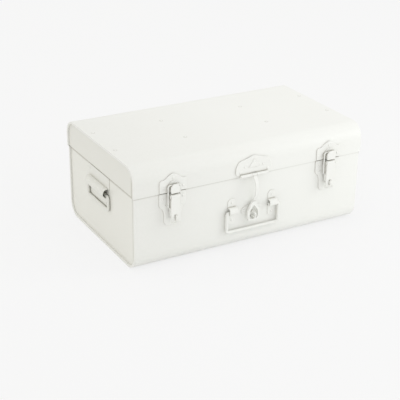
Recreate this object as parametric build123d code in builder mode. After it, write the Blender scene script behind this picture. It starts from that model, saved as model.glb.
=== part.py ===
from build123d import *
import os

# A small tin trunk: a box of lock-seamed sheet with a hinged lid, two over-centre draw latches, a
# bowed hasp over a staple, a drop handle on the front and one on each end. X runs along the trunk,
# the front faces -Y and Z is up. The origin is on the floor under the middle. Sizes in millimetres.

os.makedirs("parts", exist_ok=True)

# The box
trunk_width = 500
trunk_depth = 302
trunk_height = 205
seam_height = 148
corner_radius = 30
lid_overhang = 2
end_overhang = 2
sheet = 0.8
rim_width = 4.5
rim_depth = 3
hem_height = 6
lip_rise = 5.5
lip_height = 15
seam_gap = 1.0

# Fits
fit = 0.05
running = 0.08
air = 0.3

# Hardware gauge and rivets
plate = 1.0
pressed = 2.0
edge_round = 0.9
staple_wire = 1.7
rivet_radius = 1.5
rivet_head_radius = 2.7
rivet_head_height = 1.1

# Where the hardware sits
latch_x = 171
hinge_x = 160
front_bracket_x = 44.5
side_handle_y = 8
rail_y = 50
rail_rivet_x = (-237, -91, 91, 237)

body_width = trunk_width - 2 * end_overhang
body_depth = trunk_depth - 2 * lid_overhang
body_front = -body_depth / 2
body_back = body_depth / 2
lid_front = -trunk_depth / 2
body_top = seam_height - seam_gap
panel_x = body_width / 2 - rim_depth

front = Vector(0, -1, 0)
back = Vector(0, 1, 0)
up = Vector(0, 0, 1)


def face_plane(origin, outward):
    # A wall seen square on: X runs across it, Y is height and the normal points outward.
    return Plane(origin=origin, x_dir=up.cross(outward), z_dir=outward)


def profile_plane(origin, outward):
    # The same wall seen from one end: X is the distance out from it and Y is height.
    return Plane(origin=origin, x_dir=outward, z_dir=outward.cross(up))


def save(part, name):
    part.label = name
    export_step(part, f"parts/{name}.step")


# ---------------------------------------------------------------- rivets and wire


def domed_rivet(grip):
    # The head's flat face lies at Z = 0, and the shank fills the hole through the grip below it.
    with BuildPart() as rivet:
        with BuildSketch(Plane.XZ):
            with BuildLine():
                crown = TangentArc((0, rivet_head_height), (rivet_head_radius, 0), tangent=(1, 0))
                Polyline(crown @ 1, (rivet_radius, 0), (rivet_radius, -grip), (0, -grip), crown @ 0)
            make_face()
        revolve(axis=Axis.Z)
    return rivet.part


def rivet_group(name, grip, seats):
    # seats is a list of planes with the places of their rivets; all of them share one node.
    rivet = domed_rivet(grip)
    with BuildPart() as group:
        for plane, places in seats:
            with Locations(plane):
                with Locations(*places):
                    add(rivet)
    save(group.part, name)


def bent_wire(plane, points, bend_radius, wire_radius, name):
    # A round wire along straight runs joined by bends, lying in the given plane.
    with BuildPart() as wire:
        with BuildLine(plane) as route:
            FilletPolyline(*points, radius=bend_radius)
        with BuildSketch(Plane(origin=route.line @ 0, z_dir=route.line % 0)):
            Circle(wire_radius)
        sweep(path=route.line)
    save(wire.part, name)


def rivet_holes(places):
    with Locations(*places):
        Circle(rivet_radius + fit, mode=Mode.SUBTRACT)


# ---------------------------------------------------------------- where the rivets go

keeper_rivets = [(0, 176.5), (-20.5, 158), (20.5, 158)]
base_rivets = [(-21, 136), (21, 136), (-17, 123), (17, 123), (0, 87)]
hasp_rivets = [(-20, 167), (20, 167), (-30, 157), (30, 157)]
staple_rivets = [(-17.5, 76), (17.5, 76)]
staple_legs = [(0, 73), (0, 63)]
bracket_rivets = [(0, 98), (0, 62.5)]
side_rivets = [(-41, 136), (41, 136), (-30.5, 89.5), (30.5, 89.5)]
hinge_lid_rivets = [(-16, 170), (16, 170), (0, 161)]
hinge_body_rivets = [(-16, 126), (16, 126), (0, 135)]

sides = (("left", -1), ("right", 1))
latch_places = [("left", -latch_x), ("right", latch_x)]


# ---------------------------------------------------------------- the sheet box


def end_outline(depth, low, high, round_top, inset):
    # The outline of the body or the lid seen from the end, drawn in on its three closed sides.
    bottom = low if round_top else low + inset
    top = high - inset if round_top else high
    with BuildSketch() as outline:
        with Locations((0, (bottom + top) / 2)):
            Rectangle(depth - 2 * inset, top - bottom)
        corners = outline.vertices().group_by(Axis.Y)[-1 if round_top else 0]
        fillet(corners, corner_radius - inset)
    return outline.sketch


def body_outline(inset):
    return end_outline(body_depth, 0, body_top, False, inset)


def lid_outline(inset):
    return end_outline(trunk_depth, seam_height, trunk_height, True, inset)


def bent_wrap(width, outline):
    # One sheet bent round three sides. Each end is folded in over the end panel's flange as a rim.
    half = width / 2
    rim_return = rim_depth - sheet - fit
    with BuildPart() as wrap:
        with BuildSketch(Plane.YZ.offset(-half)):
            add(outline(0))
        extrude(amount=width)
        with BuildSketch(Plane.YZ.offset(-half + sheet)):
            add(outline(sheet))
        extrude(amount=width - 2 * sheet, mode=Mode.SUBTRACT)
        with BuildSketch(Plane.YZ.offset(-half)):
            add(outline(rim_width))
        extrude(amount=width, mode=Mode.SUBTRACT)
        for x in (-half + sheet, half - sheet - rim_return):
            with BuildSketch(Plane.YZ.offset(x)):
                add(outline(rim_width - sheet))
                add(outline(rim_width), mode=Mode.SUBTRACT)
            extrude(amount=rim_return)
    return wrap.part


def end_panel(x, side, outline, rivet_seats=()):
    # A flat panel inside the rim, with a flange turned outward for the wrap to grip.
    with BuildPart() as panel:
        with BuildSketch(Plane.YZ.offset(side * x)):
            add(outline(sheet + fit))
        extrude(amount=-side * sheet)
        with BuildSketch(Plane.YZ.offset(side * x)):
            add(outline(sheet + fit))
            add(outline(2 * sheet + fit), mode=Mode.SUBTRACT)
        extrude(amount=side * (rim_depth - sheet - fit))
        for plane, places in rivet_seats:
            drill(plane, places)
    return panel.part


def drill(plane, places, radius=rivet_radius):
    # Rivet holes through one sheet, cut from outside into the part that is being built.
    with BuildSketch(plane) as holes:
        with Locations(*places):
            Circle(radius + fit)
    extrude(holes.sketch, amount=-2 * sheet, mode=Mode.SUBTRACT)


def front_of_body(x):
    return face_plane((x, body_front, 0), front)


def front_of_lid(x):
    return face_plane((x, lid_front, 0), front)


def back_of_body(x):
    return face_plane((x, body_back, 0), back)


def back_of_lid(x):
    return face_plane((x, trunk_depth / 2, 0), back)


def end_of_body(side):
    return face_plane((side * panel_x, side_handle_y, 0), Vector(side, 0, 0))


def top_of_lid(y):
    return Plane(origin=(0, y, trunk_height), z_dir=up)


rail_rivets = [(x, 0) for x in rail_rivet_x]

body_sheet = bent_wrap(body_width, body_outline)
lid_sheet = bent_wrap(trunk_width, lid_outline)

with BuildPart() as body_wrap:
    add(body_sheet)
    for name, x in latch_places:
        drill(front_of_body(x), base_rivets)
    drill(front_of_body(0), staple_rivets)
    drill(front_of_body(0), staple_legs, staple_wire)
    for side in (-1, 1):
        drill(front_of_body(side * front_bracket_x), bracket_rivets)
        drill(back_of_body(side * hinge_x), hinge_body_rivets)
save(body_wrap.part, "body_wrap")

for name, side in sides:
    save(end_panel(panel_x, side, body_outline, [(end_of_body(side), side_rivets)]), f"body_end_{name}")

# A strip spot-welded inside the mouth of the body, over which the lid closes.
with BuildPart() as closing_lip:
    with BuildSketch(Plane.XY.offset(body_top + lip_rise - lip_height)):
        Rectangle(2 * (panel_x - sheet - fit), body_depth - 2 * (sheet + fit))
        offset(amount=-sheet, mode=Mode.SUBTRACT)
    extrude(amount=lip_height)
save(closing_lip.part, "closing_lip")

with BuildPart() as lid_wrap:
    add(lid_sheet)
    # the lower edges are hemmed inward
    hem_length = trunk_width - 2 * (rim_depth + 2 * sheet)
    for y in (lid_front + 1.5 * sheet, -lid_front - 1.5 * sheet):
        with Locations((0, y, seam_height + hem_height / 2)):
            Box(hem_length, sheet, hem_height)
    for name, x in latch_places:
        drill(front_of_lid(x), keeper_rivets)
    drill(front_of_lid(0), hasp_rivets)
    for side in (-1, 1):
        drill(back_of_lid(side * hinge_x), hinge_lid_rivets)
        drill(top_of_lid(side * rail_y), rail_rivets)
save(lid_wrap.part, "lid_wrap")

lid_panel_x = trunk_width / 2 - rim_depth
for name, side in sides:
    save(end_panel(lid_panel_x, side, lid_outline), f"lid_end_{name}")

# Channel rails under the lid keep the long flat top stiff; four rivets hold each one.
rail_width = 20
rail_leg = 8
rail_length = 2 * (lid_panel_x - sheet) - 4
for name, side in (("front", -1), ("back", 1)):
    with BuildPart() as rail:
        with BuildSketch(Plane.YZ.offset(-rail_length / 2)):
            with Locations((side * rail_y, trunk_height - sheet - fit - rail_leg / 2)):
                Rectangle(rail_width, rail_leg)
            with Locations((side * rail_y, trunk_height - 2 * sheet - fit - rail_leg / 2)):
                Rectangle(rail_width - 2 * sheet, rail_leg, mode=Mode.SUBTRACT)
        extrude(amount=rail_length)
        drill(top_of_lid(side * rail_y).offset(-sheet), rail_rivets)
    save(rail.part, f"lid_rail_{name}")
rivet_group("lid_rail_rivets", 2 * sheet, [(top_of_lid(side * rail_y), rail_rivets) for side in (-1, 1)])


# ---------------------------------------------------------------- draw latches

# Distances out are from the body's front face. The lever turns on a pin in two ears of the base
# plate. The wire bail turns in the lever, and its bar lies behind the lip of the keeper on the lid.
latch_half_width = 27.5
pivot_out = 9.5
pivot_z = 142
knuckle_radius = 5.0
lever_half_width = 8.8
lever_gauge = 1.2
lever_heel = 104
ear_radius = 3.8
ear_gauge = 1.2
pin_radius = 1.5
bail_wire = 1.4
bail_out = 7.9
bail_low = 120
bail_high = 163.6
bail_half_width = 12.3
keeper_shelf = 161.9
keeper_lip_out = 12.3
keeper_lip_gauge = 1.2
keeper_lip_top = 166.5
keeper_lip_low = 149.3
eye_out = 13.6
eye_z = 101.5
eye_radius = 5.0
eye_bore = 2.7
arch_rise = 1.2
arch_half_width = 15.5
arch_foot_z = 152.5
arch_foot_height = 6.4
arch_top_z = 162
arch_top_radius = 9
keeper_block_width = 15
keeper_lip_width = 18
eye_gauge = 1.8
bail_bends = [2.8, 4.5, 4.5, 2.8]
slot_height = (95.8, 107.4)
slot_half_width = 2.6


def keeper_outline():
    with BuildSketch() as outline:
        with BuildLine():
            side_edge = Line((latch_half_width, seam_height + 1), (latch_half_width, 168.5))
            shoulder = ThreePointArc(side_edge @ 1, (26.2, 172), (22, 173.4))
            notch = ThreePointArc(shoulder @ 1, (18.8, 173.8), (16, 175.4))
            brow = ThreePointArc(notch @ 1, (8.5, 180.7), (0, 184.7))
            mirror(about=Plane.YZ)
            Line(side_edge @ 0, (-latch_half_width, seam_height + 1))
        make_face()
    return outline.sketch


def base_outline():
    with BuildSketch() as outline:
        with BuildLine():
            side_edge = Line((latch_half_width, body_top), (latch_half_width, 126))
            TangentArc(side_edge @ 1, (21.5, 116.8), tangent=(0, -1))
            waist = TangentArc((17.8, 100), (21.5, 116.8), tangent=(0, 1))
            shank = Line(waist @ 0, (17.8, 92))
            foot = TangentArc(shank @ 1, (8.6, 82.8), tangent=(0, -1))
            mirror(about=Plane.YZ)
            Line(side_edge @ 0, (-latch_half_width, body_top))
            Line(foot @ 1, (-8.6, 82.8))
        make_face()
        fillet(outline.vertices().group_by(Axis.Y)[3], 2.5)
    return outline.sketch


def lever_profile(inset):
    # The lever from the side: a knuckle round the pin, then a channel that thins towards its heel.
    # With an inset it is the hollow of the channel, open towards the wall and at the heel.
    radius = knuckle_radius - inset
    back_line = pivot_out - knuckle_radius - inset
    with BuildSketch() as profile:
        with Locations((pivot_out, pivot_z)):
            Circle(radius)
        with BuildLine():
            Polyline(
                (back_line, pivot_z),
                (pivot_out + radius, pivot_z),
                (13.9 - inset, lever_heel + 6),
                (13.8 - inset, lever_heel),
                (8 - inset, lever_heel),
                (back_line, lever_heel + 9),
                (back_line, pivot_z),
            )
        make_face()
    return profile.sketch


def round_plate_edge(plate_part):
    # The pressed plates are turned over at the rim, so their front edge is rounded all round.
    face = plate_part.faces().filter_by(Axis.Y).sort_by(Axis.Y)[0]
    fillet(face.outer_wire().edges(), edge_round)


def latch_side(x):
    return profile_plane((x, body_front, 0), front)


for name, x in latch_places:
    with BuildPart() as keeper:
        with BuildSketch(front_of_lid(x)):
            add(keeper_outline())
            rivet_holes(keeper_rivets)
        extrude(amount=pressed)
        round_plate_edge(keeper)
        # an arch is raised round the block that carries the bail
        with BuildSketch(front_of_lid(x).offset(pressed)):
            with Locations((0, arch_top_z)):
                Circle(arch_top_radius)
            with Locations((0, arch_foot_z)):
                Rectangle(2 * arch_half_width, arch_foot_height)
            make_hull()
        extrude(amount=arch_rise)
        round_plate_edge(keeper)
        # the block is the shelf under the bail's bar, with a domed lip in front of it
        with BuildSketch(front_of_lid(x).offset(pressed)):
            with Locations((0, (keeper_lip_low + keeper_shelf) / 2)):
                RectangleRounded(keeper_block_width, keeper_shelf - keeper_lip_low, 1.5)
        extrude(amount=keeper_lip_out - lid_overhang - pressed + 0.1)
        with BuildSketch(front_of_lid(x).offset(keeper_lip_out - lid_overhang)) as lip:
            with Locations((0, (keeper_lip_low + keeper_lip_top) / 2)):
                Rectangle(keeper_lip_width, keeper_lip_top - keeper_lip_low)
            fillet(lip.vertices().group_by(Axis.Y)[-1], 7.5)
            fillet(lip.vertices().group_by(Axis.Y)[0], 2)
        extrude(amount=keeper_lip_gauge)
        round_plate_edge(keeper)
    save(keeper.part, f"latch_keeper_{name}")

    with BuildPart() as base:
        with BuildSketch(front_of_body(x)):
            add(base_outline())
            rivet_holes(base_rivets)
        extrude(amount=pressed)
        round_plate_edge(base)
        with BuildSketch(latch_side(x)):
            with Locations((pivot_out / 2, pivot_z)):
                Rectangle(pivot_out - plate, 2 * ear_radius)
            with Locations((pivot_out, pivot_z)):
                Circle(ear_radius)
                Circle(pin_radius + fit, mode=Mode.SUBTRACT)
        extrude(amount=lever_half_width + air + ear_gauge, both=True)
        with BuildSketch(front_of_body(x).offset(pressed)):
            with Locations((0, pivot_z)):
                Rectangle(2 * (lever_half_width + air), 3 * ear_radius)
        extrude(amount=2 * pivot_out, mode=Mode.SUBTRACT)
        # the eye for a padlock stands up through the lever's slot
        with BuildSketch(latch_side(x)):
            with Locations((eye_out / 2 + 0.5, eye_z)):
                Rectangle(eye_out - 1, 2 * eye_radius - 2)
            with Locations((eye_out, eye_z)):
                Circle(eye_radius)
                Circle(eye_bore, mode=Mode.SUBTRACT)
        extrude(amount=eye_gauge / 2, both=True)
    save(base.part, f"latch_base_{name}")

    with BuildPart() as lever:
        with BuildSketch(latch_side(x)):
            add(lever_profile(0))
        extrude(amount=lever_half_width, both=True)
        with BuildSketch(latch_side(x)):
            add(lever_profile(lever_gauge))
            with Locations((pivot_out - knuckle_radius - 2, pivot_z)):
                Rectangle(2 * knuckle_radius + 4 - 2 * lever_gauge, 2 * (knuckle_radius - lever_gauge))
        extrude(amount=lever_half_width - lever_gauge, both=True, mode=Mode.SUBTRACT)
        # the web runs on past the channel and curls out to a finger tip
        with BuildSketch(latch_side(x)):
            with BuildLine():
                web = Line((13.25, lever_heel + 3), (12.9, 95.5))
                ThreePointArc(web @ 1, (13.6, 92.4), (16.4, 91.4))
            trace(line_width=lever_gauge)
        extrude(amount=lever_half_width, both=True)
        # seen from the front it narrows a little towards the tip
        with BuildSketch(front_of_body(x)) as waist:
            with BuildLine():
                flank = Line((lever_half_width, lever_heel), (7.2, 93))
                Polyline(flank @ 1, (7.2, 88), (20, 88), (20, lever_heel), flank @ 0)
            make_face()
            mirror(about=Plane.YZ)
        extrude(amount=2 * knuckle_radius + pivot_out, mode=Mode.SUBTRACT)
        with BuildSketch(front_of_body(x)):
            with Locations((0, sum(slot_height) / 2)):
                Rectangle(2 * slot_half_width, slot_height[1] - slot_height[0])
        extrude(amount=2 * knuckle_radius + pivot_out, mode=Mode.SUBTRACT)
        with BuildSketch(latch_side(x)):
            with Locations((pivot_out, pivot_z)):
                Circle(pin_radius + running)
            with Locations((bail_out, bail_low)):
                Circle(bail_wire + running)
        extrude(amount=lever_half_width + 1, both=True, mode=Mode.SUBTRACT)
    save(lever.part, f"latch_lever_{name}")

    bail_end = lever_half_width - lever_gauge - 1.2
    bent_wire(
        front_of_body(x).offset(bail_out),
        [
            (-bail_end, bail_low),
            (-bail_half_width, bail_low),
            (-bail_half_width, bail_high),
            (bail_half_width, bail_high),
            (bail_half_width, bail_low),
            (bail_end, bail_low),
        ],
        bail_bends,
        bail_wire,
        f"latch_bail_{name}",
    )

with BuildPart() as latch_pins:
    for name, x in latch_places:
        with BuildSketch(latch_side(x)):
            with Locations((pivot_out, pivot_z)):
                Circle(pin_radius)
        extrude(amount=lever_half_width + air + ear_gauge, both=True)
save(latch_pins.part, "latch_pins")

rivet_group(
    "latch_keeper_rivets",
    pressed + sheet,
    [(front_of_lid(x).offset(pressed), keeper_rivets) for name, x in latch_places],
)
rivet_group(
    "latch_base_rivets",
    pressed + sheet,
    [(front_of_body(x).offset(pressed), base_rivets) for name, x in latch_places],
)


# ---------------------------------------------------------------- hasp and staple

# Distances out are from the lid's front face.
hasp_pin_out = 4.2
hasp_pin_z = 149.8
hasp_knuckle = 3.0
hasp_barrel_half = 30
strap_half_width = 3.4
strap_gauge = 2.2
notch_half_width = 5.2
notch_height = 8.6
rib_rise = 1.1
rib_half_width = 13
rib_foot = 164.5
rib_tip = 182
loop_out = 2.6
loop_gauge = 4.5
loop_wall = 4.5
loop_corner = 9
loop_corner_places = [(-4.5, 64), (4.5, 64), (-4.5, 74), (4.5, 74)]
loop_neck = 6
loop_neck_z = 90


def hasp_side():
    return profile_plane((0, lid_front, 0), front)


with BuildPart() as hasp_plate:
    with BuildSketch(front_of_lid(0)) as crest:
        with BuildLine():
            corner = ThreePointArc((hasp_barrel_half, hasp_pin_z), (37.5, 153), (39.3, 161.5))
            bulge = ThreePointArc(corner @ 1, (37.3, 171), (29.5, 179.8))
            ThreePointArc(bulge @ 1, (15, 183.2), (0, 187.5))
            mirror(about=Plane.YZ)
            Line(corner @ 0, (-hasp_barrel_half, hasp_pin_z))
        make_face()
        fillet(crest.vertices().group_by(Axis.Y)[2], 4)
        fillet(crest.vertices().group_by(Axis.Y)[-1], 6)
        rivet_holes(hasp_rivets)
    extrude(amount=pressed)
    round_plate_edge(hasp_plate)
    # a tapered rib stiffens the plate over the joint
    with BuildSketch(front_of_lid(0).offset(pressed)):
        Polygon((-rib_half_width, rib_foot), (rib_half_width, rib_foot), (0, rib_tip), align=None)
    extrude(amount=rib_rise, taper=45)
    with BuildSketch(hasp_side()):
        with Locations((hasp_pin_out, hasp_pin_z)):
            Circle(hasp_knuckle)
    extrude(amount=hasp_barrel_half, both=True)
    with BuildSketch(front_of_lid(0)):
        with Locations((0, hasp_pin_z)):
            Rectangle(2 * notch_half_width, notch_height)
    extrude(amount=3 * hasp_knuckle, mode=Mode.SUBTRACT)
    with BuildSketch(hasp_side()):
        with Locations((hasp_pin_out, hasp_pin_z)):
            Circle(pin_radius + fit)
    extrude(amount=hasp_barrel_half, both=True, mode=Mode.SUBTRACT)
save(hasp_plate.part, "hasp_plate")

with BuildPart() as hasp_pin:
    with BuildSketch(hasp_side()):
        with Locations((hasp_pin_out, hasp_pin_z)):
            Circle(pin_radius)
    extrude(amount=hasp_barrel_half, both=True)
save(hasp_pin.part, "hasp_pin")
rivet_group("hasp_plate_rivets", pressed + sheet, [(front_of_lid(0).offset(pressed), hasp_rivets)])


def loop_outline(inset):
    # The stirrup that drops over the staple, or with an inset its eye.
    with BuildSketch() as outline:
        with Locations((0, loop_neck_z - inset)):
            Circle(loop_neck - inset)
        with Locations(*loop_corner_places):
            Circle(loop_corner - inset)
        make_hull()
    return outline.sketch


with BuildPart() as hasp:
    with BuildSketch(hasp_side()):
        with BuildLine():
            bow = ThreePointArc((hasp_pin_out + 1.2, hasp_pin_z - 1.5), (16.4, 121), (5.8, 97))
            Line(bow @ 1, (loop_out + loop_gauge / 2, loop_neck_z))
        trace(line_width=strap_gauge)
    extrude(amount=strap_half_width, both=True)
    with BuildSketch(hasp_side()):
        with Locations((hasp_pin_out, hasp_pin_z)):
            Circle(hasp_knuckle)
    extrude(amount=notch_half_width - air, both=True)
    with BuildSketch(hasp_side()):
        with Locations((hasp_pin_out, hasp_pin_z)):
            Circle(pin_radius + running)
    extrude(amount=notch_half_width, both=True, mode=Mode.SUBTRACT)
    with BuildSketch(front_of_lid(0).offset(loop_out)):
        add(loop_outline(0))
    extrude(amount=loop_gauge)
    with BuildSketch(front_of_lid(0).offset(loop_out)):
        add(loop_outline(loop_wall))
    extrude(amount=2 * loop_gauge, mode=Mode.SUBTRACT)
save(hasp.part, "hasp")

staple_reach = 15
staple_bend = 4.5
staple_plate_z = 76
staple_plate_ear_x = 16
staple_plate_ear_radius = 7.5
staple_plate_radius = 13.5
(_, staple_high), (_, staple_low) = staple_legs
with BuildPart() as staple_plate:
    with BuildSketch(front_of_body(0)):
        with Locations((-staple_plate_ear_x, staple_plate_z), (staple_plate_ear_x, staple_plate_z)):
            Circle(staple_plate_ear_radius)
        with Locations((0, staple_plate_z)):
            Circle(staple_plate_radius)
        make_hull()
        rivet_holes(staple_rivets)
        with Locations(*staple_legs):
            Circle(staple_wire + fit, mode=Mode.SUBTRACT)
    extrude(amount=plate)
save(staple_plate.part, "staple_plate")
bent_wire(
    latch_side(0),
    [
        (-sheet, staple_high),
        (staple_reach, staple_high),
        (staple_reach, staple_low),
        (-sheet, staple_low),
    ],
    staple_bend,
    staple_wire,
    "hasp_staple",
)
rivet_group("staple_plate_rivets", plate + sheet, [(front_of_body(0).offset(plate), staple_rivets)])


# ---------------------------------------------------------------- front handle


def wire_housing(radius, out, low, high):
    # The end view of a strap that stands off the wall round a wire, or of the room inside it.
    # The wire lies at the bottom of the room.
    with BuildSketch() as profile:
        with Locations((out, low), (out, high)):
            Circle(radius)
        with Locations((-radius, (low + high) / 2)):
            Rectangle(radius, high - low + 2 * radius)
        make_hull()
        with Locations((-2 * radius, (low + high) / 2)):
            Rectangle(4 * radius, 2 * (high - low) + 4 * radius, mode=Mode.SUBTRACT)
    return profile.sketch


handle_wire = 2.9
handle_pivot_z = 80
handle_out = 5.2
handle_half_width = 57.5
handle_drop = 40
handle_bend = 4.2
bracket_z = 80.2
bracket_height = 53.6
bracket_half_width = 8.7
bracket_bore = 4.0
bracket_bore_low = handle_pivot_z - handle_wire + bracket_bore - running
bracket_bore_high = 84.5

for name, side in sides:
    x = side * front_bracket_x
    with BuildPart() as bracket:
        with BuildSketch(front_of_body(x)):
            with Locations((0, bracket_z)):
                RectangleRounded(2 * bracket_half_width, bracket_height, bracket_half_width - 0.2)
            rivet_holes(bracket_rivets)
        extrude(amount=plate)
        with BuildSketch(latch_side(x)):
            add(wire_housing(bracket_bore + plate, handle_out, bracket_bore_low, bracket_bore_high))
        extrude(amount=bracket_half_width, both=True)
        with BuildSketch(latch_side(x)):
            add(wire_housing(bracket_bore, handle_out, bracket_bore_low, bracket_bore_high))
        extrude(amount=bracket_half_width, both=True, mode=Mode.SUBTRACT)
    save(bracket.part, f"front_bracket_{name}")

bent_wire(
    front_of_body(0).offset(handle_out),
    [
        (-front_bracket_x + bracket_half_width, handle_pivot_z),
        (-handle_half_width, handle_pivot_z),
        (-handle_half_width, handle_pivot_z - handle_drop),
        (handle_half_width, handle_pivot_z - handle_drop),
        (handle_half_width, handle_pivot_z),
        (front_bracket_x - bracket_half_width, handle_pivot_z),
    ],
    handle_bend,
    handle_wire,
    "front_handle",
)
rivet_group(
    "front_bracket_rivets",
    plate + sheet,
    [(front_of_body(side * front_bracket_x).offset(plate), bracket_rivets) for side in (-1, 1)],
)


# ---------------------------------------------------------------- end handles

end_wire = 2.8
end_pivot_z = 107.3
end_out = end_wire + plate / 2
end_half_width = 46
end_drop = 27
hood_half_width = 41
hood_radius = 9.6
hood_out = 3
hood_z = 113
upper_plate = (94, 24)
upper_plate_z = 132.5
lower_plate = (72, 37)
lower_plate_z = 102
plate_corner = 4

for name, side in sides:
    outward = Vector(side, 0, 0)
    wall = end_of_body(side)
    section = profile_plane((side * panel_x, side_handle_y, 0), outward)
    with BuildPart() as handle_plate:
        with BuildSketch(wall):
            with Locations((0, upper_plate_z)):
                RectangleRounded(*upper_plate, plate_corner)
            with Locations((0, lower_plate_z)):
                RectangleRounded(*lower_plate, plate_corner)
            rivet_holes(side_rivets)
        extrude(amount=plate)
        # the wire lies in a half-round hood that is open at both ends
        with BuildSketch(section):
            add(wire_housing(hood_radius, hood_out, hood_z, hood_z))
        extrude(amount=hood_half_width, both=True)
        with BuildSketch(section):
            add(wire_housing(hood_radius - plate, hood_out, hood_z, hood_z))
        extrude(amount=hood_half_width, both=True, mode=Mode.SUBTRACT)
    save(handle_plate.part, f"end_handle_plate_{name}")

    bent_wire(
        wall.offset(end_out),
        [
            (-2, end_pivot_z),
            (-end_half_width, end_pivot_z),
            (-end_half_width, end_pivot_z - end_drop),
            (end_half_width, end_pivot_z - end_drop),
            (end_half_width, end_pivot_z),
            (2, end_pivot_z),
        ],
        handle_bend,
        end_wire,
        f"end_handle_{name}",
    )
rivet_group(
    "end_handle_rivets",
    plate + sheet,
    [(end_of_body(side).offset(plate), side_rivets) for name, side in sides],
)


# ---------------------------------------------------------------- rear hinges

# Distances out are from the body's back face.
axis_out = 5.4
barrel_radius = 3.0
leaf_half_width = 22
middle_half_width = 8

for name, side in sides:
    x = side * hinge_x
    section = profile_plane((x, body_back, 0), back)
    with BuildPart() as lid_leaf:
        with BuildSketch(back_of_lid(x)):
            with Locations((0, 164.5)):
                RectangleRounded(2 * leaf_half_width, 23, 3)
            rivet_holes(hinge_lid_rivets)
        extrude(amount=plate)
        with BuildSketch(section):
            with BuildLine():
                Polyline((2, 155), (2, 151), (4, 149), (5.4, 150.8), (3, 155), (2, 155))
            make_face()
            with Locations((axis_out, seam_height)):
                Circle(barrel_radius)
                Circle(pin_radius + running, mode=Mode.SUBTRACT)
        extrude(amount=middle_half_width, both=True)
    save(lid_leaf.part, f"hinge_lid_leaf_{name}")

    with BuildPart() as body_leaf:
        with BuildSketch(back_of_body(x)):
            with Locations((0, 132)):
                RectangleRounded(2 * leaf_half_width, 23, 3)
            rivet_holes(hinge_body_rivets)
        extrude(amount=plate)
        with BuildSketch(section):
            with BuildLine():
                Polyline((0, 144), (2.9, 146.8), (5.4, 145.2), (1, 140), (0, 140), (0, 144))
            make_face()
            with Locations((axis_out, seam_height)):
                Circle(barrel_radius)
                Circle(pin_radius + fit, mode=Mode.SUBTRACT)
        extrude(amount=leaf_half_width, both=True)
        with BuildSketch(back_of_body(x).offset(plate)):
            with Locations((0, seam_height)):
                Rectangle(2 * (middle_half_width + air), 20)
        extrude(amount=3 * axis_out, mode=Mode.SUBTRACT)
    save(body_leaf.part, f"hinge_body_leaf_{name}")

with BuildPart() as hinge_pins:
    for name, side in sides:
        with BuildSketch(profile_plane((side * hinge_x, body_back, 0), back)):
            with Locations((axis_out, seam_height)):
                Circle(pin_radius)
        extrude(amount=leaf_half_width, both=True)
save(hinge_pins.part, "hinge_pins")
rivet_group(
    "hinge_lid_rivets",
    plate + sheet,
    [(back_of_lid(side * hinge_x).offset(plate), hinge_lid_rivets) for name, side in sides],
)
rivet_group(
    "hinge_body_rivets",
    plate + sheet,
    [(back_of_body(side * hinge_x).offset(plate), hinge_body_rivets) for name, side in sides],
)
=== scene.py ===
import bpy
import math
from mathutils import Matrix, Vector

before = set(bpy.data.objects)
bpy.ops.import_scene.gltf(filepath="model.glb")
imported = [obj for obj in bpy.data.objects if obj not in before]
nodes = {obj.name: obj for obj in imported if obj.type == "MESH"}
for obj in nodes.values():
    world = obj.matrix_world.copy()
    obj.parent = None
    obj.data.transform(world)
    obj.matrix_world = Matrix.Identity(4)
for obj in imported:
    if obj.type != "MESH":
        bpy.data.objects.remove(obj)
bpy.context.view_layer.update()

print("small tin trunk: frame loaded")


class Wire:  # one socket of a node tree, so that formulas can be written with operators
    def __init__(self, tree, socket):
        self.tree = tree
        self.socket = socket

    def math(self, operation, *others):
        return node(self.tree, "ShaderNodeMath", {"operation": operation}, [self, *others])

    def __add__(self, other):
        return self.math("ADD", other)

    def __mul__(self, other):
        return self.math("MULTIPLY", other)

    def __sub__(self, other):
        return self.math("SUBTRACT", other)

    def __rsub__(self, other):
        return node(self.tree, "ShaderNodeMath", {"operation": "SUBTRACT"}, [other, self])

    __radd__ = __add__

    def clamp(self):
        return node(self.tree, "ShaderNodeClamp", {}, [self])


def feed(tree, socket, value):
    if isinstance(value, Wire):
        tree.links.new(value.socket, socket)
    else:
        socket.default_value = value


def node(tree, kind, settings, inputs, output=0):
    # settings are set first, because a Math node's operation changes its sockets
    made = tree.nodes.new(kind)
    for name, value in settings.items():
        setattr(made, name, value)
    pairs = inputs.items() if isinstance(inputs, dict) else enumerate(inputs)
    for key, value in pairs:
        feed(tree, made.inputs[key], value)
    return Wire(tree, made.outputs[output])


def blendColours(tree, amount, first, second):
    # colours go through Mix, because a Math node would turn them grey
    made = tree.nodes.new("ShaderNodeMix")
    made.data_type = "RGBA"
    feed(tree, made.inputs["Factor"], amount)
    feed(tree, made.inputs["A"], first)
    feed(tree, made.inputs["B"], second)
    return Wire(tree, made.outputs["Result"])


def noise(tree, place, settings):
    return node(tree, "ShaderNodeTexNoise", {}, {"Vector": place, **settings})


def component(tree, vector, letter):
    return node(tree, "ShaderNodeSeparateXYZ", {}, [vector], letter)


def fade(distance, reach, steepness):
    # 1 close by, and down to 0 at the reach
    return ((reach - distance) * steepness).clamp()


def seenRays(tree):
    # what the camera sees of the surroundings, directly, in a reflection or through something clear
    path = tree.nodes.new("ShaderNodeLightPath")
    rays = [Wire(tree, path.outputs[f"Is {kind} Ray"]) for kind in ("Camera", "Glossy", "Transmission")]
    return (rays[0] + rays[1] + rays[2]).clamp()


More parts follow.
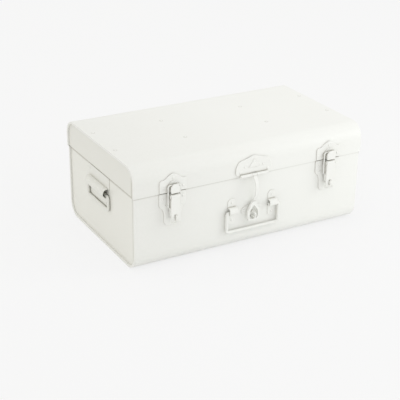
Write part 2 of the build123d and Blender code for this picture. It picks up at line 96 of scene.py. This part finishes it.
paint = {
    "sheetTone": (0.876, 0.880, 0.848, 1),
    "hardwareTone": (0.870, 0.873, 0.840, 1),
    # these three carry some of the photo's shade: the real paint is probably one tone, so for
    # other light they would take the two values above
    "bodyEndTone": (0.820, 0.820, 0.770, 1),
    "lidEndTone": (0.785, 0.785, 0.735, 1),
    "handleTone": (0.790, 0.790, 0.742, 1),
    "dustTone": (0.770, 0.745, 0.670, 1),
    "grimeAndShadeTone": (0.420, 0.400, 0.340, 1),
    "sheetRoughness": 0.42,
    "hardwareRoughness": 0.33,
    "refraction": 1.5,
    "cloud": {"Scale": 9, "Detail": 4, "Roughness": 0.6},
    "speck": {"Scale": 160, "Detail": 3, "Roughness": 0.7},
    "peel": {"Scale": 620, "Detail": 2},  # the ripple of a sprayed coat
    "peelDepth": 0.00002,
    "hardwarePeel": 0.6,  # of the sheet's depth
    "noiseMiddle": 0.5,  # what the noise varies about
}

ageingAndShade = {
    "dustAmount": 0.07,
    "dustStart": 0.45,          # the clouds' level below which little dust lies
    "dustClouds": 2.2,
    "dustSpecks": 0.8,
    "cloudDulling": 0.12,       # how much the clouds, the specks and the grime and painted shade roughen the coat
    "speckDulling": 0.06,
    "grimeDulling": 0.3,
    "sheetGrimeAndShade": 0.16,         # grime and painted shade in crevices
    "endGrimeAndShade": 0.36,
    "hardwareGrimeAndShade": 0.92,
    "handleGrimeAndShade": 0.50,
    "sheetReach": 0.004,        # how far from a crevice the grime and painted shade start
    "endReach": 0.009,
    "creviceGain": 1.6,
    "creviceSpecks": 0.3,
    "creviceStart": 0.1,
    "raysPerCrevice": 8,
    "shadeLeast": 0.6,           # how the specks break up all the painted shade that the masks below lay on
    "shadeSpecks": 0.8,
}

# every mask set here is painted shade or shadow: the line under the lid's edge, the bands along the end
# folds, the rings round the rivets and the fall toward the left end
paintedShade = {
    "seamHeight": 0.148,        # where the lid closes
    "seamShadow": 0.40,
    "seamReach": 0.0036,
    "seamSteepness": 500,
    "seamMiddle": 0.62,         # the line's strength at the trunk's middle
    "seamFall": 1.5,            # and how fast it fades toward the right, per metre
    "endSeamShadow": 0.56,
    "endSeamReach": 0.0068,
    "endSeamSteepness": 400,
    "foldPlace": 0.1445,
    "foldShade": 0.62,
    "foldReach": 0.011,
    "foldSteepness": 170,
    "rivetX": (0.091, 0.237),
    "rivetY": 0.050,
    "rivetShade": 0.40,
    "rivetReach": 0.0046,
    "rivetSteepness": 700,
    "leftShade": 0.105,         # see the function leftShade; 0 leaves it out
    "leftShadeStart": 0.05,
    "leftShadeFall": 3.3,
}


def paintMaterial(name, tone, roughness, peelDepth, creviceGrimeAndShade, reach, paintedShadeMask=None):
    # enamel sprayed over steel: fine ripple, slightly uneven sheen, a trace of dust, grime and painted shade
    # in the joints, and any painted shade passed in
    material = bpy.data.materials.new(name)
    material.use_nodes = True
    tree = material.node_tree
    shader = tree.nodes["Principled BSDF"]
    place = node(tree, "ShaderNodeTexCoord", {}, [], "Object")
    cloud = noise(tree, place, paint["cloud"])
    speck = noise(tree, place, paint["speck"])
    ripple = noise(tree, place, paint["peel"])
    crevice = {"samples": ageingAndShade["raysPerCrevice"]}
    openness = node(tree, "ShaderNodeAmbientOcclusion", crevice, {"Distance": reach}, "AO")
    clouded = cloud - paint["noiseMiddle"]
    specked = speck - paint["noiseMiddle"]
    aged = (cloud - ageingAndShade["dustStart"]) * ageingAndShade["dustClouds"] + specked * ageingAndShade["dustSpecks"]
    aged = aged.clamp() * ageingAndShade["dustAmount"]
    # grime and painted shade in crevices, darker where a point is more closed in
    darkening = (1 - openness) * ageingAndShade["creviceGain"] + specked * ageingAndShade["creviceSpecks"]
    darkening = (darkening - ageingAndShade["creviceStart"]).clamp() * creviceGrimeAndShade
    if paintedShadeMask:
        broken = ageingAndShade["shadeLeast"] + speck * ageingAndShade["shadeSpecks"]
        darkening = (darkening + paintedShadeMask(tree, place) * broken).clamp()
    dusty = blendColours(tree, aged, tone, paint["dustTone"])
    feed(tree, shader.inputs["Base Color"], blendColours(tree, darkening, dusty, paint["grimeAndShadeTone"]))
    uneven = roughness + clouded * ageingAndShade["cloudDulling"] + specked * ageingAndShade["speckDulling"]
    feed(tree, shader.inputs["Roughness"], uneven + darkening * ageingAndShade["grimeDulling"])
    bump = {"Strength": 1.0, "Distance": peelDepth, "Height": ripple}
    feed(tree, shader.inputs["Normal"], node(tree, "ShaderNodeBump", {}, bump))
    shader.inputs["IOR"].default_value = paint["refraction"]
    return material


def belowSeam(tree, place):
    return paintedShade["seamHeight"] - component(tree, place, "Z")


def underLid(tree, place):
    # painted shadow: a dark line on the front and back, just under the lid's edge, fainter to the right
    fadingRight = (paintedShade["seamMiddle"] - component(tree, place, "X") * paintedShade["seamFall"]).clamp()
    line = fade(belowSeam(tree, place), paintedShade["seamReach"], paintedShade["seamSteepness"])
    return line * fadingRight * paintedShade["seamShadow"]


def alongFold(tree, place):
    # painted shade in the crease by the rim: a wider, softer dark band on the end panels, behind their front
    # fold
    fromFold = component(tree, place, "Y") + paintedShade["foldPlace"]
    return fade(fromFold, paintedShade["foldReach"], paintedShade["foldSteepness"]) * paintedShade["foldShade"]


def roundRivets(tree, place):
    # painted shade: darker rings round the rivet heads on the lid's top
    along = component(tree, place, "X").math("ABSOLUTE")
    across = component(tree, place, "Y").math("ABSOLUTE") - paintedShade["rivetY"]
    inner, outer = [(along - x).math("ABSOLUTE") for x in paintedShade["rivetX"]]
    near = inner.math("MINIMUM", outer)
    distance = (near * near + across * across).math("SQRT")
    return fade(distance, paintedShade["rivetReach"], paintedShade["rivetSteepness"]) * paintedShade["rivetShade"]


def leftShade(tree, place):
    # not a stain seen in the photo: it stands in for light that falls off toward the left end there,
    # and would show as uneven paint in other light
    shade = fade(component(tree, place, "X"), paintedShade["leftShadeStart"], paintedShade["leftShadeFall"])
    return shade * paintedShade["leftShade"]


# painted shadow under the lid's edge, and painted shade toward the left end
def bodyShade(tree, place):
    return underLid(tree, place) + leftShade(tree, place)


# painted shade round the rivets and toward the left end
def lidShade(tree, place):
    return roundRivets(tree, place) + leftShade(tree, place)


def endShade(tree, place):
    # painted shadow: the lid stands proud of the ends, so the dark line under it is broader there; the
    # painted shade along the fold is added
    line = fade(belowSeam(tree, place), paintedShade["endSeamReach"], paintedShade["endSeamSteepness"])
    return (line * paintedShade["endSeamShadow"] + alongFold(tree, place)).clamp()


def sheetMaterial(name, paintedShadeMask=None, tone="sheetTone", creviceGrimeAndShade="sheetGrimeAndShade", reach="sheetReach"):
    return paintMaterial(
        name, paint[tone], paint["sheetRoughness"], paint["peelDepth"], ageingAndShade[creviceGrimeAndShade], ageingAndShade[reach], paintedShadeMask)


def hardwareMaterial(name, tone, creviceGrimeAndShade):
    peelDepth = paint["peelDepth"] * paint["hardwarePeel"]
    return paintMaterial(
        name, paint[tone], paint["hardwareRoughness"], peelDepth, ageingAndShade[creviceGrimeAndShade], ageingAndShade["sheetReach"])


# handlePaint, bodyEndPaint and lidEndPaint are darker copies of the same paint: painted shade in their tones
hardwarePaint = hardwareMaterial("hardwarePaint", "hardwareTone", "hardwareGrimeAndShade")
handlePaint = hardwareMaterial("handlePaint", "handleTone", "handleGrimeAndShade")
sheetPaint = sheetMaterial("sheetPaint")
bodyPaint = sheetMaterial("bodyPaint", bodyShade)
lidPaint = sheetMaterial("lidPaint", lidShade)
bodyEndPaint = sheetMaterial("bodyEndPaint", endShade, "bodyEndTone", "endGrimeAndShade", "endReach")
lidEndPaint = sheetMaterial("lidEndPaint", alongFold, "lidEndTone")
ownPaint = {
    "body_wrap": bodyPaint,
    "lid_wrap": lidPaint,
    "body_end_left": bodyEndPaint,
    "body_end_right": bodyEndPaint,
    "lid_end_left": lidEndPaint,
    "lid_end_right": lidEndPaint,
}

for name, piece in nodes.items():
    isSheet = name.startswith(("body_", "lid_", "closing")) and not name.endswith("rivets")
    fittingPaint = handlePaint if name.startswith("end_handle") else hardwarePaint
    for slot in piece.material_slots:
        slot.material = ownPaint.get(name, sheetPaint if isSheet else fittingPaint)
print("paint on", len(nodes), "nodes")


floorLook = {
    "tone": (0.96, 0.96, 0.96, 1),
    "paper": (0.922, 0.922, 0.922, 1),  # the even white of the sweep, as the camera sees it
    "evenShare": 0.82,                  # the rest of it is lit paper, with the shadow on it
    "roughness": 0.9,
    "size": 12.0,
}


def paperMaterial():
    material = bpy.data.materials.new("floorPaper")
    material.use_nodes = True
    tree = material.node_tree
    shader = tree.nodes["Principled BSDF"]
    shader.inputs["Base Color"].default_value = floorLook["tone"]
    shader.inputs["Roughness"].default_value = floorLook["roughness"]
    shader.inputs["Specular IOR Level"].default_value = 0.0
    share = seenRays(tree) * floorLook["evenShare"]
    even = node(tree, "ShaderNodeEmission", {}, {"Color": floorLook["paper"], "Strength": 1.0})
    paper = node(tree, "ShaderNodeMixShader", {}, [share, Wire(tree, shader.outputs["BSDF"]), even])
    tree.links.new(paper.socket, tree.nodes["Material Output"].inputs["Surface"])
    return material


bpy.ops.mesh.primitive_plane_add(size=floorLook["size"], location=(0, 0, 0))
floor = bpy.context.active_object
floor.name = "floor"
floor.data.materials.append(paperMaterial())
print("floor laid")


lightPlan = {
    "horizon": (0.835, 0.810, 0.735, 1),  # to the left and behind the trunk
    "keySide": (0.24, 0.24, 0.235, 1),    # to the right, held down because the lamp stands there
    "cameraSide": (0.625, 0.625, 0.62, 1),
    "zenith": (1.15, 1.15, 1.15, 1),
    "sideSpread": 1.4,                    # how soon the camera's side and the right take over
    "keyWatts": 8.0,
    "keyTone": (0.97, 1.0, 0.99),
    "keyPlace": (1.55, -0.97, 0.66),
    "keyAim": (0, -0.1, 0.1),
    "keySize": 0.75,
}


def setWorld():
    world = bpy.data.worlds.new("studio")
    bpy.context.scene.world = world
    world.use_nodes = True
    tree = world.node_tree
    direction = node(tree, "ShaderNodeTexCoord", {}, [], "Generated")
    height = component(tree, direction, "Z").clamp()
    nearness = (component(tree, direction, "Y") * -lightPlan["sideSpread"]).clamp()
    rightward = (component(tree, direction, "X") * lightPlan["sideSpread"]).clamp()
    sides = blendColours(tree, rightward, lightPlan["horizon"], lightPlan["keySide"])
    around = blendColours(tree, nearness, sides, lightPlan["cameraSide"])
    surround = blendColours(tree, height, around, lightPlan["zenith"])
    backdrop = blendColours(tree, seenRays(tree), surround, floorLook["paper"])
    feed(tree, tree.nodes["Background"].inputs["Color"], backdrop)


def hangKey():
    lamp = bpy.data.lights.new("key", "AREA")
    lamp.energy = lightPlan["keyWatts"]
    lamp.color = lightPlan["keyTone"]
    lamp.size = lightPlan["keySize"]
    key = bpy.data.objects.new("key", lamp)
    bpy.context.scene.collection.objects.link(key)
    place = Vector(lightPlan["keyPlace"])
    turn = (place - Vector(lightPlan["keyAim"])).to_track_quat("Z", "Y")
    key.matrix_world = Matrix.Translation(place) @ turn.to_matrix().to_4x4()
    key.visible_camera = False


setWorld()
hangKey()
print("light set")


cameraPlan = {
    "azimuth": -29.505,
    "elevation": 24.54,
    "roll": 0.695,
    "distance": 2.1236,
    "aside": -0.0260,  # how far the view's middle lies from the trunk's origin, across the view
    "above": 0.0307,   # and up it
    "shiftX": 0.0015,
    "sensor": 36,
    "lens": 93.01,
    "farthest": 50,
}


def setCamera():
    turn = math.radians(cameraPlan["azimuth"])
    rise = math.radians(cameraPlan["elevation"])
    tilt = math.radians(cameraPlan["roll"])
    backward = Vector((math.sin(turn) * math.cos(rise), -math.cos(turn) * math.cos(rise), math.sin(rise)))
    levelRight = Vector((math.cos(turn), math.sin(turn), 0))
    levelUp = backward.cross(levelRight)
    right = math.cos(tilt) * levelRight + math.sin(tilt) * levelUp
    upward = backward.cross(right)
    eye = right * cameraPlan["aside"] + upward * cameraPlan["above"] + backward * cameraPlan["distance"]
    eye.x += cameraPlan["shiftX"]
    lens = bpy.data.cameras.new("camera")
    lens.sensor_fit = "HORIZONTAL"
    lens.sensor_width = cameraPlan["sensor"]
    lens.lens = cameraPlan["lens"]
    lens.clip_end = cameraPlan["farthest"]
    camera = bpy.data.objects.new("camera", lens)
    bpy.context.scene.collection.objects.link(camera)
    facing = Matrix((right, upward, backward)).transposed().to_4x4()
    camera.matrix_world = Matrix.Translation(eye) @ facing
    bpy.context.scene.camera = camera


setCamera()
print("camera set")

bpy.context.scene.view_settings.view_transform = "Standard"
